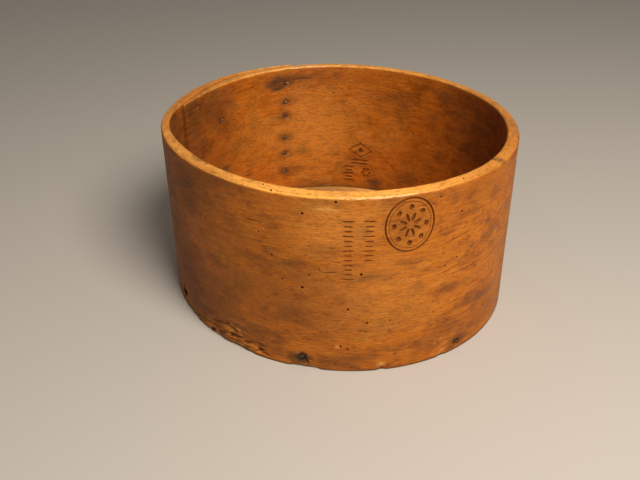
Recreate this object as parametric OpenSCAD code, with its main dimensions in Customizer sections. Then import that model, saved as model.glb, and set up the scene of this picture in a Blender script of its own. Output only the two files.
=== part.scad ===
// Bentwood measure: a strip of steamed wood bent round into a slightly oval hoop, its two ends lapped and
// nailed together, with a flat board nailed into the foot. The origin is the middle of the foot, Z is up and
// X runs along the oval's long axis. Lengths are in millimetres, and angles in degrees from +X.

/* [Hoop] */
// Outside length of the oval, along X
hoop_length = 203; // [170:1:260]
// Outside width of the oval, along Y
hoop_width = 190; // [160:1:250]
// Height of the hoop
hoop_height = 100.5; // [80:0.5:150]
// Thickness of the bent strip
wall = 7; // [5:0.5:9]

/* [Lap joint] */
// Angle of the strip's outer end
lap_angle = 158; // [0:1:359]
// Angle over which the two ends overlap
lap_span = 60; // [48:1:80]
// Thickness that is left at the outer end
outer_tip = 2; // [2:0.5:4.5]
// Angle over which the outer end is pared down
outer_paring = 48; // [10:1:50]
// Thickness that is left at the inner end
inner_tip = 2; // [1:0.5:3]
// Angle over which the inner end is pared down
inner_paring = 30; // [10:1:40]
// How far the outer end stands proud of the oval
lap_proud = 1.5; // [0.5:0.5:2.5]
// Angle over which the strip dips to pass under its own outer end
lap_dip = 40; // [20:1:60]
// Gap between the two layers
lap_gap = 0.15; // [0.1:0.05:0.3]

/* [Past the lap] */
// Angle from the inner end to where the strip is thinnest
thin_after = 16; // [5:1:30]
// Angle over which it thins and thickens again
thin_reach = 28; // [15:1:40]
// How much thinner it is there
thin_by = 2; // [0.5:0.1:2.5]
// How far it springs outwards there
spring_out = 0.8; // [0:0.1:1.5]

/* [Base board] */
// Thickness of the board
base_thickness = 11; // [8:0.5:16]
// Height of the board's underside above the foot
base_recess = 0.8; // [0.2:0.2:3]
// Gap between the board's edge and the hoop
base_gap = 0.15; // [0.1:0.05:0.4]

/* [Nail stock] */
// Diameter of a shank
shank_d = 2.2; // [1.6:0.2:3]
// Diameter of a head
head_d = 5; // [4:0.5:7]
// Thickness of a head
head_t = 1.2; // [0.8:0.2:1.6]
// How far a head is driven below the surface
head_sink = 0.3; // [0:0.1:0.5]
// Gap between a nail and the wood all round it
nail_gap = 0.05; // [0.02:0.01:0.1]

/* [Base nails] */
// Number of nails round the foot
base_nails = 7; // [5:1:12]
// Angle of the first nail
base_nail_angle = -3; // [-25:1:25]
// Length of a nail from the surface to its tip
base_nail_length = 25; // [20:1:40]
// Length of a nail's tapered point
base_nail_point = 7; // [3:1:8]

/* [Lap nails] */
// Number of nails down the outer end
lap_nails = 6; // [3:1:8]
// Angle from the outer end to the top nail
lap_nail_inset = 3.6; // [1.6:0.2:6]
// Angle that the row leans from top to bottom
lap_nail_lean = 2; // [0:0.5:5]
// Distance from the rim to the top nail
lap_nail_top = 10.5; // [6:0.5:20]
// Distance from the board to the lowest nail
lap_nail_low = 15; // [6:0.5:25]

/* [End nails] */
// Number of nails in the zigzag that holds the inner end
end_nails = 5; // [3:1:8]
// Angle from the inner end to the nearer line of nails
end_nail_near = 7; // [5:0.5:15]
// Angle from the inner end to the farther line of nails
end_nail_far = 23.5; // [18:0.5:35]
// Distance from the rim to the top nail
end_nail_top = 6; // [5:0.5:20]
// Distance from the board to the lowest nail
end_nail_low = 14; // [6:0.5:25]

/* [Clenched points] */
// Length of the point that is bent over on the inside
clench_length = 3; // [2:0.5:7]
// Thickness left at the tip of a bent point
clench_tip_d = 1.5; // [1:0.1:1.6]
// How far a bent point stands proud of the wood
clench_proud = 0.7; // [0.5:0.1:0.8]
// How much wider the hammered bend is than the shank
clench_swell = 0.2; // [0.1:0.1:0.4]

/* [Hidden] */
$fn = 48;
// Angle that one flat of the bent strip covers at most
flat_angle = 3;
// Length by which a cutting tool runs out past the surface
runout = 2;
base_top = base_recess + base_thickness;
base_nail_pitch = 360 / base_nails;
// How far each nail of the foot strays round the hoop in degrees, and up or down, being set by eye
base_nail_strays = [0.6, 1.4, -1.4, 1.4, -1.4, -1.4, 3];
base_nail_rises = [-1, 0.6, -0.8, 1, -0.6, 2, -0.4];
// How far each nail down the outer end strays up or down
lap_nail_rises = [0, -0.4, 2.6, -0.4, 0.6, 0];

// The strip is followed by its travel: the angle gone round from its outer end, up to lap_span past a full turn.
// Depths are measured inwards from the outside of the oval.
function oval(a) = 1 / norm([2 * cos(a) / hoop_length, 2 * sin(a) / hoop_width]);
function polar(r, a) = [r * cos(a), r * sin(a)];
function ease(t) = t * t * (3 - 2 * t);
function thinness(travel) = ease(max(0, 1 - abs(travel - lap_span - thin_after) / thin_reach));
function outer_layer(travel) =
    outer_tip + (wall - outer_tip) * min(1, travel / outer_paring) - thin_by * thinness(travel);
function inner_layer(travel) = wall + (inner_tip - wall) * max(0, 1 - (lap_span - travel) / inner_paring);
function proud(travel) = lap_proud * max(0, 1 - travel / lap_span) + spring_out * thinness(travel);
function seam_depth(travel) = outer_layer(travel) - proud(travel);
function dip(travel) = (seam_depth(0) + lap_gap) * ease(max(0, 1 - (360 - travel) / lap_dip));
function outer_depth(travel) =
    travel < 360 ? dip(travel) - proud(travel) : seam_depth(travel - 360) + lap_gap;
function inner_depth(travel) =
    travel < 360 ? dip(travel) + seam_depth(travel) : outer_depth(travel) + inner_layer(travel - 360);
function face_point(travel, depth) = polar(oval(lap_angle + travel) - depth, lap_angle + travel);

// The hoop's outermost and innermost faces in one direction, across both layers of the lap
function first_pass(a) = a - lap_angle - 360 * floor((a - lap_angle) / 360);
function last_pass(a) = first_pass(a) + (first_pass(a) <= lap_span ? 360 : 0);
function outside(a) = oval(a) - outer_depth(first_pass(a));
function inside(a) = oval(a) - inner_depth(last_pass(a));

// Travels from one angle up to, but not including, another
function stations(from, to) =
    let (n = ceil((to - from) / flat_angle)) [for (i = [0:n - 1]) from + (to - from) * i / n];
function spread(i, count, low, high) = high - (high - low) * (i - 1) / (count - 1);
function nth(list, i) = list[(i - 1) % len(list)];

function base_nail_at(i) = base_nail_angle + (i - 1) * base_nail_pitch + nth(base_nail_strays, i);
function base_nail_height(i) = base_recess + base_thickness / 2 + nth(base_nail_rises, i);
function lap_nail_height(i) =
    spread(i, lap_nails, base_top + lap_nail_low, hoop_height - lap_nail_top) + nth(lap_nail_rises, i);
function lap_nail_at(i) = lap_angle + lap_nail_inset + lap_nail_lean * (i - 1) / (lap_nails - 1);
function end_nail_height(i) = spread(i, end_nails, base_top + end_nail_low, hoop_height - end_nail_top);
function end_nail_at(i) = lap_angle + lap_span - (i % 2 == 1 ? end_nail_near : end_nail_far);

// Turns a nail drawn along Z to point inwards from the outside of the hoop
module driven_at(a, z) {
    translate([0, 0, z])
        rotate([0, 0, a])
            translate([outside(a), 0, 0])
                rotate([0, -90, 0])
                    children();
}

// Head and shank of a nail, or the hole for it where gap is set and the mouth opens outwards
module head_and_shank(length, gap, mouth) {
    head_end = head_sink + head_t + gap;
    translate([0, 0, head_sink - mouth])
        cylinder(h = head_end - head_sink + mouth, d = head_d + 2 * gap);
    translate([0, 0, head_sink])
        cylinder(h = length - head_sink, d = shank_d + 2 * gap);
}

module straight_nail(gap = 0, mouth = 0) {
    head_and_shank(base_nail_length - base_nail_point, gap, mouth);
    translate([0, 0, base_nail_length - base_nail_point])
        cylinder(h = base_nail_point + gap, d1 = shank_d + 2 * gap, d2 = shank_d / 4 + 2 * gap);
}

// A nail whose point comes out inside the hoop at angle a and is bent over along the wood
module clenched_nail(a, gap = 0, mouth = 0) {
    bend = outside(a) - inside(a) + clench_proud - shank_d / 2;
    head_and_shank(bend, gap, mouth);
    translate([0, 0, bend]) {
        sphere(d = shank_d + clench_swell + 2 * gap);
        rotate([90, 0, 0])
            cylinder(h = clench_length + gap, d1 = shank_d + 2 * gap, d2 = clench_tip_d + 2 * gap);
    }
}

module base_nail_holes() {
    for (i = [1:base_nails])
        driven_at(base_nail_at(i), base_nail_height(i))
            straight_nail(nail_gap, runout);
}

module lap_nail_holes() {
    for (i = [1:lap_nails])
        driven_at(lap_nail_at(i), lap_nail_height(i))
            clenched_nail(lap_nail_at(i), nail_gap, runout);
    for (i = [1:end_nails])
        driven_at(end_nail_at(i), end_nail_height(i))
            clenched_nail(end_nail_at(i), nail_gap, runout);
}

module bent_strip() {
    travels = concat(
        stations(0, lap_span),
        stations(lap_span, 360),
        stations(360, 360 + lap_span),
        [360 + lap_span]
    );
    last = len(travels) - 1;
    outer_face = [for (t = travels) face_point(t, outer_depth(t))];
    inner_face = [for (i = [last:-1:0]) face_point(travels[i], inner_depth(travels[i]))];
    linear_extrude(hoop_height)
        polygon(concat(outer_face, inner_face));
}

module hoop() {
    color([0.68, 0.43, 0.18])
        difference() {
            bent_strip();
            base_nail_holes();
            lap_nail_holes();
        }
}

module base_board() {
    past_lap = [for (t = stations(lap_span, 360)) if (t > lap_span) t];
    travels = concat(stations(360, 360 + lap_span), [360 + lap_span], past_lap);
    color([0.80, 0.62, 0.36])
        difference() {
            translate([0, 0, base_recess])
                linear_extrude(base_thickness)
                    polygon([for (t = travels) face_point(t, inner_depth(t) + base_gap)]);
            base_nail_holes();
        }
}

module base_nail(i) {
    color([0.25, 0.21, 0.18])
        driven_at(base_nail_at(i), base_nail_height(i))
            straight_nail();
}

module lap_nail(i) {
    color([0.25, 0.21, 0.18])
        driven_at(lap_nail_at(i), lap_nail_height(i))
            clenched_nail(lap_nail_at(i));
}

module end_nail(i) {
    color([0.25, 0.21, 0.18])
        driven_at(end_nail_at(i), end_nail_height(i))
            clenched_nail(end_nail_at(i));
}

hoop();
base_board();
for (i = [1:base_nails]) base_nail(i);
for (i = [1:lap_nails]) lap_nail(i);
for (i = [1:end_nails]) end_nail(i);
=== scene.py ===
"""Dresses the bentwood measure: its worn hoop, foot board and nails, with a floor, a lamp and a camera.

Lengths are in millimetres and angles in degrees from +X, in the frame of the CAD part, until a mesh is made.
"""

import logging
import math
from dataclasses import dataclass, field
from enum import Enum
from typing import Any, ClassVar, Sequence

import bmesh
import bpy
import numpy as np
from mathutils import Matrix, Quaternion, Vector


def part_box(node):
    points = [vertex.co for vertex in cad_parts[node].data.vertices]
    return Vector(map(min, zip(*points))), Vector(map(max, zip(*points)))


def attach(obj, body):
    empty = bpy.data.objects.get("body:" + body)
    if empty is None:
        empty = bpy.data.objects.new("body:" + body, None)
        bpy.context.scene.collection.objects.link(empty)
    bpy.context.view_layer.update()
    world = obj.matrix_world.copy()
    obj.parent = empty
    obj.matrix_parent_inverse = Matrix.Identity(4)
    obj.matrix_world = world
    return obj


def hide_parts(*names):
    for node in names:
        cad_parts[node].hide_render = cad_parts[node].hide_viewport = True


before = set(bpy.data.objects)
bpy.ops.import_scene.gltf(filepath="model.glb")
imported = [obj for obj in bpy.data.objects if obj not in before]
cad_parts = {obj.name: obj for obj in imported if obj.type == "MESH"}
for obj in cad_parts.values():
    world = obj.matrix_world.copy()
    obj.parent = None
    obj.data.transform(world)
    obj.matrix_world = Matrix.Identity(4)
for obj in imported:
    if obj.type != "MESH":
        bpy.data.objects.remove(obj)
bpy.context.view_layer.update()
LOG = logging.getLogger("bentwood_measure")
MM = 0.001
FULL_TURN = 2 * math.pi
BODY = "root"
Array = np.ndarray
Tree = bpy.types.NodeTree
Socket = bpy.types.NodeSocket
Pair = tuple[float, float]
Triple = tuple[float, float, float]


class Face(Enum):
    """A face of the bent strip: 1 where it faces away from the middle, and -1 where it faces the middle."""

    OUTER = 1
    INNER = -1


class GrainSpace(Enum):
    """Where a wood pattern takes its coordinates from."""

    STRIP = "strip"
    BOARD = "board"


def linear(hex_colour: str) -> tuple[float, float, float, float]:
    """Turns an sRGB hex colour into linear light.

    Args:
        hex_colour: colour such as "#B5722E".
    Returns:
        Red, green, blue and an alpha of 1.
    """
    channels = [int(hex_colour[i : i + 2], 16) / 255 for i in (1, 3, 5)]
    light = [c / 12.92 if c <= 0.04045 else ((c + 0.055) / 1.055) ** 2.4 for c in channels]
    return (light[0], light[1], light[2], 1.0)


def ease(t: Array) -> Array:
    """Smooth step from 0 to 1 as t goes from 0 to 1."""
    t = np.clip(t, 0.0, 1.0)
    return t * t * (3 - 2 * t)


def toned(values: Array, start: float, gain: float, most: float) -> Array:
    """Tone that starts at a level and grows with the values, kept from 0 to the most that it may be."""
    return np.clip(start + gain * values, 0, most)


def set_inputs(tree: Tree, node: bpy.types.Node, inputs: dict[Any, Any]) -> None:
    """Sets sockets of a node, each to a value or by a link.

    Args:
        tree: tree that the node is in.
        node: node to set.
        inputs: socket name or number to a value, or to a socket to link from.
    """
    for socket, source in inputs.items():
        if isinstance(source, Socket):
            tree.links.new(source, node.inputs[socket])
        else:
            node.inputs[socket].default_value = source


def add_node(tree: Tree, kind: str, inputs: dict[Any, Any] | None = None, output: int | str = 0,
             ramp: Sequence[tuple[float, str]] = (), **settings: Any) -> Socket:
    """Adds one shader node with its settings, values and links.

    Args:
        tree: node tree to add to.
        kind: Blender's name for the node type, without its prefix.
        inputs: socket name or number to a value, or to a socket to link from.
        output: name or number of the wanted output.
        ramp: stops of a colour ramp, as position and hex colour.
        settings: the node's own properties.
    Returns:
        The wanted output socket.
    """
    made = tree.nodes.new("ShaderNode" + kind)
    for name, value in settings.items():
        setattr(made, name, value)
    for stop, (position, colour) in enumerate(ramp):
        elements = made.color_ramp.elements
        element = elements[stop] if stop < len(elements) else elements.new(position)
        element.position = position
        element.color = linear(colour)
    set_inputs(tree, made, inputs or {})
    return made.outputs[output]


def new_material(name: str) -> tuple[bpy.types.Material, Tree, bpy.types.Node]:
    """Starts a material.

    Args:
        name: its name.
    Returns:
        The material, its node tree and its surface shader.
    """
    material = bpy.data.materials.new(name)
    material.use_nodes = True
    return material, material.node_tree, material.node_tree.nodes["Principled BSDF"]


def ring_faces(rows: int, columns: int, mirrored: bool = False, closed: bool = False,
               start: int = 0) -> list[tuple[int, ...]]:
    """Faces of a solid stretched over rings of points.

    Args:
        rows: number of rings.
        columns: number of points in a ring.
        mirrored: whether the rings run the other way round.
        closed: whether the last ring joins the first, instead of a cap on each.
        start: number of the first point.
    Returns:
        Point numbers of each face.
    """
    faces: list[tuple[int, ...]] = []
    for i in range(rows if closed else rows - 1):
        near, far = start + i * columns, start + (i + 1) % rows * columns
        for j in range(columns):
            k = (j + 1) % columns
            around = (near + k, far + k, far + j)
            faces.append((near + j, *(around[::-1] if mirrored else around)))
    if not closed:
        first = tuple(range(start, start + columns))
        last = tuple(range(start + (rows - 1) * columns, start + rows * columns))
        faces += [first, last[::-1]] if mirrored else [first[::-1], last]
    return faces


def finish_mesh(name: str, points: Array, faces: Sequence[Sequence[int]]) -> bpy.types.Object:
    """Makes a smooth-shaded object.

    Args:
        name: name of the object and its mesh.
        points: corner positions, one row each.
        faces: corner numbers of each face.
    Returns:
        The object, linked to the scene.
    """
    mesh = bpy.data.meshes.new(name)
    mesh.from_pydata((points * MM).tolist(), [], [list(f) for f in faces])
    mesh.validate()
    mesh.shade_smooth()
    made = bpy.data.objects.new(name, mesh)
    bpy.context.scene.collection.objects.link(made)
    return made


def mesh_points(mesh: bpy.types.Mesh) -> Array:
    """Reads where the corners of a mesh are.

    Args:
        mesh: mesh to read.
    Returns:
        Positions, one row each.
    """
    points = np.empty(len(mesh.vertices) * 3)
    mesh.vertices.foreach_get("co", points)
    return points.reshape(-1, 3) / MM


def paint(mesh: bpy.types.Mesh, name: str, values: Array) -> None:
    """Writes a value or a vector for each corner, for a finish to read.

    Args:
        mesh: mesh to write on.
        name: name that the finish reads.
        values: one value or one row for each corner.
    """
    kind, key = ("FLOAT_VECTOR", "vector") if values.ndim == 2 else ("FLOAT", "value")
    layer = mesh.attributes.new(name, kind, "POINT")
    layer.data.foreach_set(key, values.astype(np.float32).ravel())


def dress(piece: bpy.types.Object, node: str) -> None:
    """Hands a finished piece to the frame in place of its CAD node.

    Args:
        piece: the visual piece.
        node: CAD node that it stands for.
    """
    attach(piece, BODY)
    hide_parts(node)
    LOG.info("%s: %d faces for %s", piece.name, len(piece.data.polygons), node)


class Unevenness:
    """Smooth seeded random values over a surface, from -1 to 1."""

    # Size of the surface, a margin before it and cells to spare past it.
    LENGTH = 760.0
    HEIGHT = 140.0
    MARGIN = 10.0
    SPARE = 4
    # Places past those read the last cell.
    LAST = 2.001

    def __init__(self, seed: int, along: float, across: float) -> None:
        """Draws the lattice.

        Args:
            seed: seed of the random draw.
            along: cell length along the grain.
            across: cell height across the grain.
        """
        self.along = along
        self.across = across
        shape = (int(self.LENGTH / along) + self.SPARE, int(self.HEIGHT / across) + self.SPARE)
        self.lattice = np.random.default_rng(seed).uniform(-1, 1, shape)

    def __call__(self, x: Array, z: Array) -> Array:
        """Reads the unevenness.

        Args:
            x: distance along the grain.
            z: distance across it.
        Returns:
            Values from -1 to 1, of the shape of x and z.
        """
        column = np.clip((x + self.MARGIN) / self.along, 0, self.lattice.shape[0] - self.LAST)
        row = np.clip((z + self.MARGIN) / self.across, 0, self.lattice.shape[1] - self.LAST)
        i, j = column.astype(int), row.astype(int)
        u, v = ease(column - i), ease(row - j)
        low = self.lattice[i, j] * (1 - u) + self.lattice[i + 1, j] * u
        high = self.lattice[i, j + 1] * (1 - u) + self.lattice[i + 1, j + 1] * u
        return low * (1 - v) + high * v

    def raised(self, x: Array, z: Array) -> Array:
        """The same unevenness, from 0 to 1."""
        return 0.5 + 0.5 * self(x, z)


@dataclass(frozen=True)
class WoodFinish:
    """An aged hardwood surface: colours in sRGB hex, and sizes along, through and across the grain."""

    name: str
    light: str
    mid: str
    dark: str
    smoke: str
    # Colour of stains and dirt, also used to paint shade.
    stain_and_shade: str
    # Colour of rubbed wood, also used to paint a highlight on the front rim.
    worn_and_highlight: str
    raw: str
    inside: str
    space: GrainSpace
    cloud_mm: Triple = (46.0, 22.0, 28.0)
    mottle_mm: Triple = (14.0, 8.0, 7.5)
    streak_mm: Triple = (18.0, 4.0, 1.6)
    # Real pores are finer than a pixel, so they are drawn about twice as coarse to show.
    pore_mm: Triple = (2.6, 0.8, 0.75)
    fibre_mm: Triple = (5.0, 0.6, 0.6)
    # How much of the tone comes from growth lines, from mottling and from broad clouds.
    tones: Triple = (0.24, 0.38, 0.38)
    # Roughness of the smoothest and roughest mottles, what dirt and painted shade add and rubbing takes off.
    smooth: float = 0.42
    rough: float = 0.62
    dulling: float = 0.25
    polish: float = 0.34
    # Strength of the sheen, and what rubbing adds to it.
    gloss: float = 0.22
    rubbed_gloss: float = 0.4
    ior: float = 1.5
    pore_depth: float = 1.2
    relief_mm: float = 0.3
    bump: float = 0.6
    # How crumbly the patterns are, and how far they wander.
    crumble: float = 0.62
    wander: float = 0.3
    # Tones of the dark, the middle and the light wood, and levels of the smoothest and the roughest mottles.
    tone_stops: Triple = (0.40, 0.50, 0.61)
    mottles: Pair = (0.35, 0.65)

    # Each share, the pattern that it follows, the pattern's range, and how much shows at the range's ends.
    SHARES: ClassVar[tuple[tuple[str, str, float, float, float, float], ...]] = (
        ("smoky", "cloud", 0.48, 0.70, 0.0, 0.66),
        ("blotch", "mottle", 0.52, 0.76, 0.0, 0.58),
        ("pores", "pore", 0.54, 0.74, 0.0, 0.60),
        ("dashes", "fibre", 0.46, 0.28, 0.0, 0.22),
        ("rubbing", "pore", 0.68, 0.50, 0.42, 1.0),
        ("soak", "streak", 0.38, 0.62, 0.62, 1.18),
        ("fray", "fibre", 0.40, 0.60, 0.15, 1.1),
    )

    def scale(self, size_mm: Triple) -> Triple:
        """Turns a pattern's size into its scale, in the order of the coordinates that the finish reads.

        Args:
            size_mm: size along, through and across the grain.
        Returns:
            Scale along each coordinate.
        """
        along, through, across = size_mm
        if self.space is GrainSpace.STRIP:
            return (1 / along, 1 / through, 1 / across)
        return (1 / along, 1 / across, 1 / through)

    def patterns(self, tree: Tree) -> dict[str, Socket]:
        """Makes the grain's noise patterns, each about 0.5 on average.

        Args:
            tree: node tree to add to.
        Returns:
            Value socket of each pattern by name.
        """
        if self.space is GrainSpace.STRIP:
            place = add_node(tree, "Attribute", output="Vector", attribute_name="strip_mm")
        else:
            here = add_node(tree, "TexCoord", output="Object")
            place = add_node(tree, "VectorMath", {0: here, "Scale": 1 / MM}, operation="SCALE")
        found = {}
        for name, size, detail in (("cloud", self.cloud_mm, 3.0), ("mottle", self.mottle_mm, 4.0),
                                   ("streak", self.streak_mm, 3.0), ("pore", self.pore_mm, 2.0),
                                   ("fibre", self.fibre_mm, 3.0)):
            scaled = add_node(tree, "VectorMath", {0: place, 1: self.scale(size)}, operation="MULTIPLY")
            found[name] = add_node(tree, "TexNoise", {"Vector": scaled, "Scale": 1.0, "Detail": detail,
                                                      "Roughness": self.crumble, "Distortion": self.wander})
        return found

    def shares(self, tree: Tree, found: dict[str, Socket]) -> dict[str, Socket]:
        """Turns patterns, and painted wear, shade and highlight, into how much of each colour shows.

        Args:
            tree: node tree to add to.
            found: value socket of each pattern.
        Returns:
            Socket of each share, from 0 to 1, by name.
        """
        made = {}
        for name, pattern, low, high, least, most in self.SHARES:
            levels = {"Value": found[pattern], 1: low, 2: high, 3: least, 4: most}
            made[name] = add_node(tree, "MapRange", levels)
        clean = add_node(tree, "Attribute", output="Fac", attribute_name="clean")
        smoked = add_node(tree, "Math", {0: 1.0, 1: clean}, operation="SUBTRACT")
        for name in ("smoky", "blotch"):
            made[name] = add_node(tree, "Math", {0: made[name], 1: smoked}, operation="MULTIPLY")
        # The painted darkening is dirt with painted shade in it, and the painted paleness is wear with a
        # painted highlight in it.
        for name, pattern in (("worn_and_highlight", "rubbing"), ("dirt_and_shade", "soak"), ("raw", "fray")):
            painted = add_node(tree, "Attribute", output="Fac", attribute_name=name)
            made[name] = add_node(tree, "Math", {0: painted, 1: made[pattern]}, operation="MULTIPLY",
                                  use_clamp=True)
        return made

    def colour(self, tree: Tree, found: dict[str, Socket], share: dict[str, Socket]) -> Socket:
        """Lays the colours over each other.

        Args:
            tree: node tree to add to.
            found: value socket of each pattern.
            share: socket of each share.
        Returns:
            Colour socket.
        """
        # Close-grained wood shows as soft mottling with only faint growth lines.
        tone: Any = 0.0
        for name, weight in zip(("streak", "mottle", "cloud"), self.tones):
            tone = add_node(tree, "Math", {0: found[name], 1: weight, 2: tone}, operation="MULTIPLY_ADD")
        grain = zip(self.tone_stops, (self.dark, self.mid, self.light))
        colour = add_node(tree, "ValToRGB", {"Fac": tone}, ramp=tuple(grain))
        inside = add_node(tree, "Attribute", output="Fac", attribute_name="inside")
        colour = add_node(tree, "Mix", {0: inside, 6: colour, 7: linear(self.inside)}, output=2,
                          data_type="RGBA", blend_type="MULTIPLY")
        # Smoke and handling darken it, open pores fleck it, rubbing pales its edges and paints a highlight
        # on the front rim, breaks bare fresh wood, and iron and damp stain it along the grain. The stain
        # colour also paints shade.
        for name, over in (("smoky", self.smoke), ("blotch", self.smoke), ("pores", self.smoke),
                           ("dashes", self.worn_and_highlight), ("worn_and_highlight", self.worn_and_highlight), ("raw", self.raw),
                           ("dirt_and_shade", self.stain_and_shade)):
            colour = add_node(tree, "Mix", {0: share[name], 6: colour, 7: linear(over)}, output=2,
                              data_type="RGBA")
        return colour

    def build(self) -> bpy.types.Material:
        """Makes the material, whose colour, sheen and bump follow the grain.

        Returns:
            The material.
        """
        material, tree, shader = new_material(self.name)
        found = self.patterns(tree)
        share = self.shares(tree, found)
        smoothest, roughest = self.mottles
        sheen = add_node(tree, "MapRange", {"Value": found["mottle"], 1: smoothest, 2: roughest,
                                            3: self.smooth, 4: self.rough})
        dulled = add_node(tree, "Math", {0: share["dirt_and_shade"], 1: self.dulling, 2: sheen},
                          operation="MULTIPLY_ADD")
        polished = add_node(tree, "Math", {0: share["worn_and_highlight"], 1: -self.polish, 2: dulled},
                            operation="MULTIPLY_ADD")
        glint = add_node(tree, "Math", {0: share["worn_and_highlight"], 1: self.rubbed_gloss, 2: self.gloss},
                         operation="MULTIPLY_ADD")
        relief = add_node(tree, "Math", {0: share["pores"], 1: -self.pore_depth, 2: found["fibre"]},
                          operation="MULTIPLY_ADD")
        bump = add_node(tree, "Bump", {"Height": relief, "Strength": self.bump,
                                       "Distance": self.relief_mm * MM})
        set_inputs(tree, shader, {"Base Color": self.colour(tree, found, share), "Roughness": polished,
                                  "IOR": self.ior, "Specular IOR Level": glint, "Normal": bump})
        return material


@dataclass(frozen=True)
class SpeckledFinish:
    """A dull surface that goes through a few colours from speck to speck."""

    name: str
    stops: tuple[tuple[float, str], ...]
    speck_mm: float
    detail: float
    roughness: float
    metallic: float = 0.0
    specular: float = 0.5
    bump: float = 0.0
    relief_mm: float = 0.2

    def build(self) -> bpy.types.Material:
        """Makes the material.

        Returns:
            The material.
        """
        material, tree, shader = new_material(self.name)
        here = add_node(tree, "TexCoord", output="Object")
        specks = add_node(tree, "TexNoise",
                          {"Vector": here, "Scale": 1 / (self.speck_mm * MM), "Detail": self.detail})
        set_inputs(tree, shader, {
            "Base Color": add_node(tree, "ValToRGB", {"Fac": specks}, ramp=self.stops),
            "Roughness": self.roughness, "Metallic": self.metallic, "Specular IOR Level": self.specular})
        if self.bump:
            height = {"Height": specks, "Strength": self.bump, "Distance": self.relief_mm * MM}
            set_inputs(tree, shader, {"Normal": add_node(tree, "Bump", height)})
        return material


# Beech, steamed, bent, waxed and then handled for a century: a warm orange brown, clouded with smoke and
# finely flecked, with a low sheen that rubbing has brightened along the rim. Its rubbed colour also paints a
# highlight on the front rim, and its stain colour also paints shade.
HOOP_WOOD = WoodFinish(
    name="steam_bent_beech_waxed", light="#D37B19", mid="#B96312", dark="#8C490C", smoke="#5C2D06",
    stain_and_shade="#2F2115", worn_and_highlight="#FFAC46", raw="#F2A64E", inside="#FFF6E8", space=GrainSpace.STRIP)
# Elm, planed and never waxed: paler and duller than the hoop, with long straight growth lines.
BOARD_WOOD = WoodFinish(
    name="planed_elm_dry", light="#F2B868", mid="#E8A654", dark="#C4803A", smoke="#A0682E", stain_and_shade="#33190A",
    worn_and_highlight="#E2B87C", raw="#C08A4A", inside="#FFFFFF", space=GrainSpace.BOARD,
    cloud_mm=(190.0, 22.0, 34.0), mottle_mm=(80.0, 10.0, 8.0), streak_mm=(260.0, 9.0, 2.6),
    tones=(0.52, 0.24, 0.24), smooth=0.55, rough=0.8)
# Wrought iron, forged and then blackened by the wood's tannin: nearly black heads with a few rubbed specks.
HEAD_IRON = SpeckledFinish(
    name="wrought_iron_blackened", stops=((0.40, "#17100B"), (0.56, "#3A2414"), (0.68, "#6E5A44")),
    speck_mm=1.1, detail=4.0, roughness=0.85, metallic=0.3, bump=0.5)
# The same iron, hammered over and rusted by what was measured: dull brown points with paler specks.
POINT_IRON = SpeckledFinish(
    name="wrought_iron_rusted", stops=((0.40, "#4C2A0F"), (0.56, "#6E421A"), (0.68, "#A07440")),
    speck_mm=1.6, detail=4.0, roughness=0.9, metallic=0.1, bump=0.5)
# Wood dust packed into worm holes: dark red-brown dots with no sheen.
HOLE_DIRT = SpeckledFinish(
    name="wood_dust_in_worm_holes", stops=((0.0, "#2A0A05"), (1.0, "#561C0C")),
    speck_mm=1.2, detail=2.0, roughness=0.9, specular=0.1)
# Wood scorched and crushed by a hot stamp: mid-brown grooves that stay duller than the wax round them.
STAMP_DIRT = SpeckledFinish(
    name="hot_stamped_wood", stops=((0.0, "#47220A"), (1.0, "#884814")),
    speck_mm=1.2, detail=2.0, roughness=0.9, specular=0.1)


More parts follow.
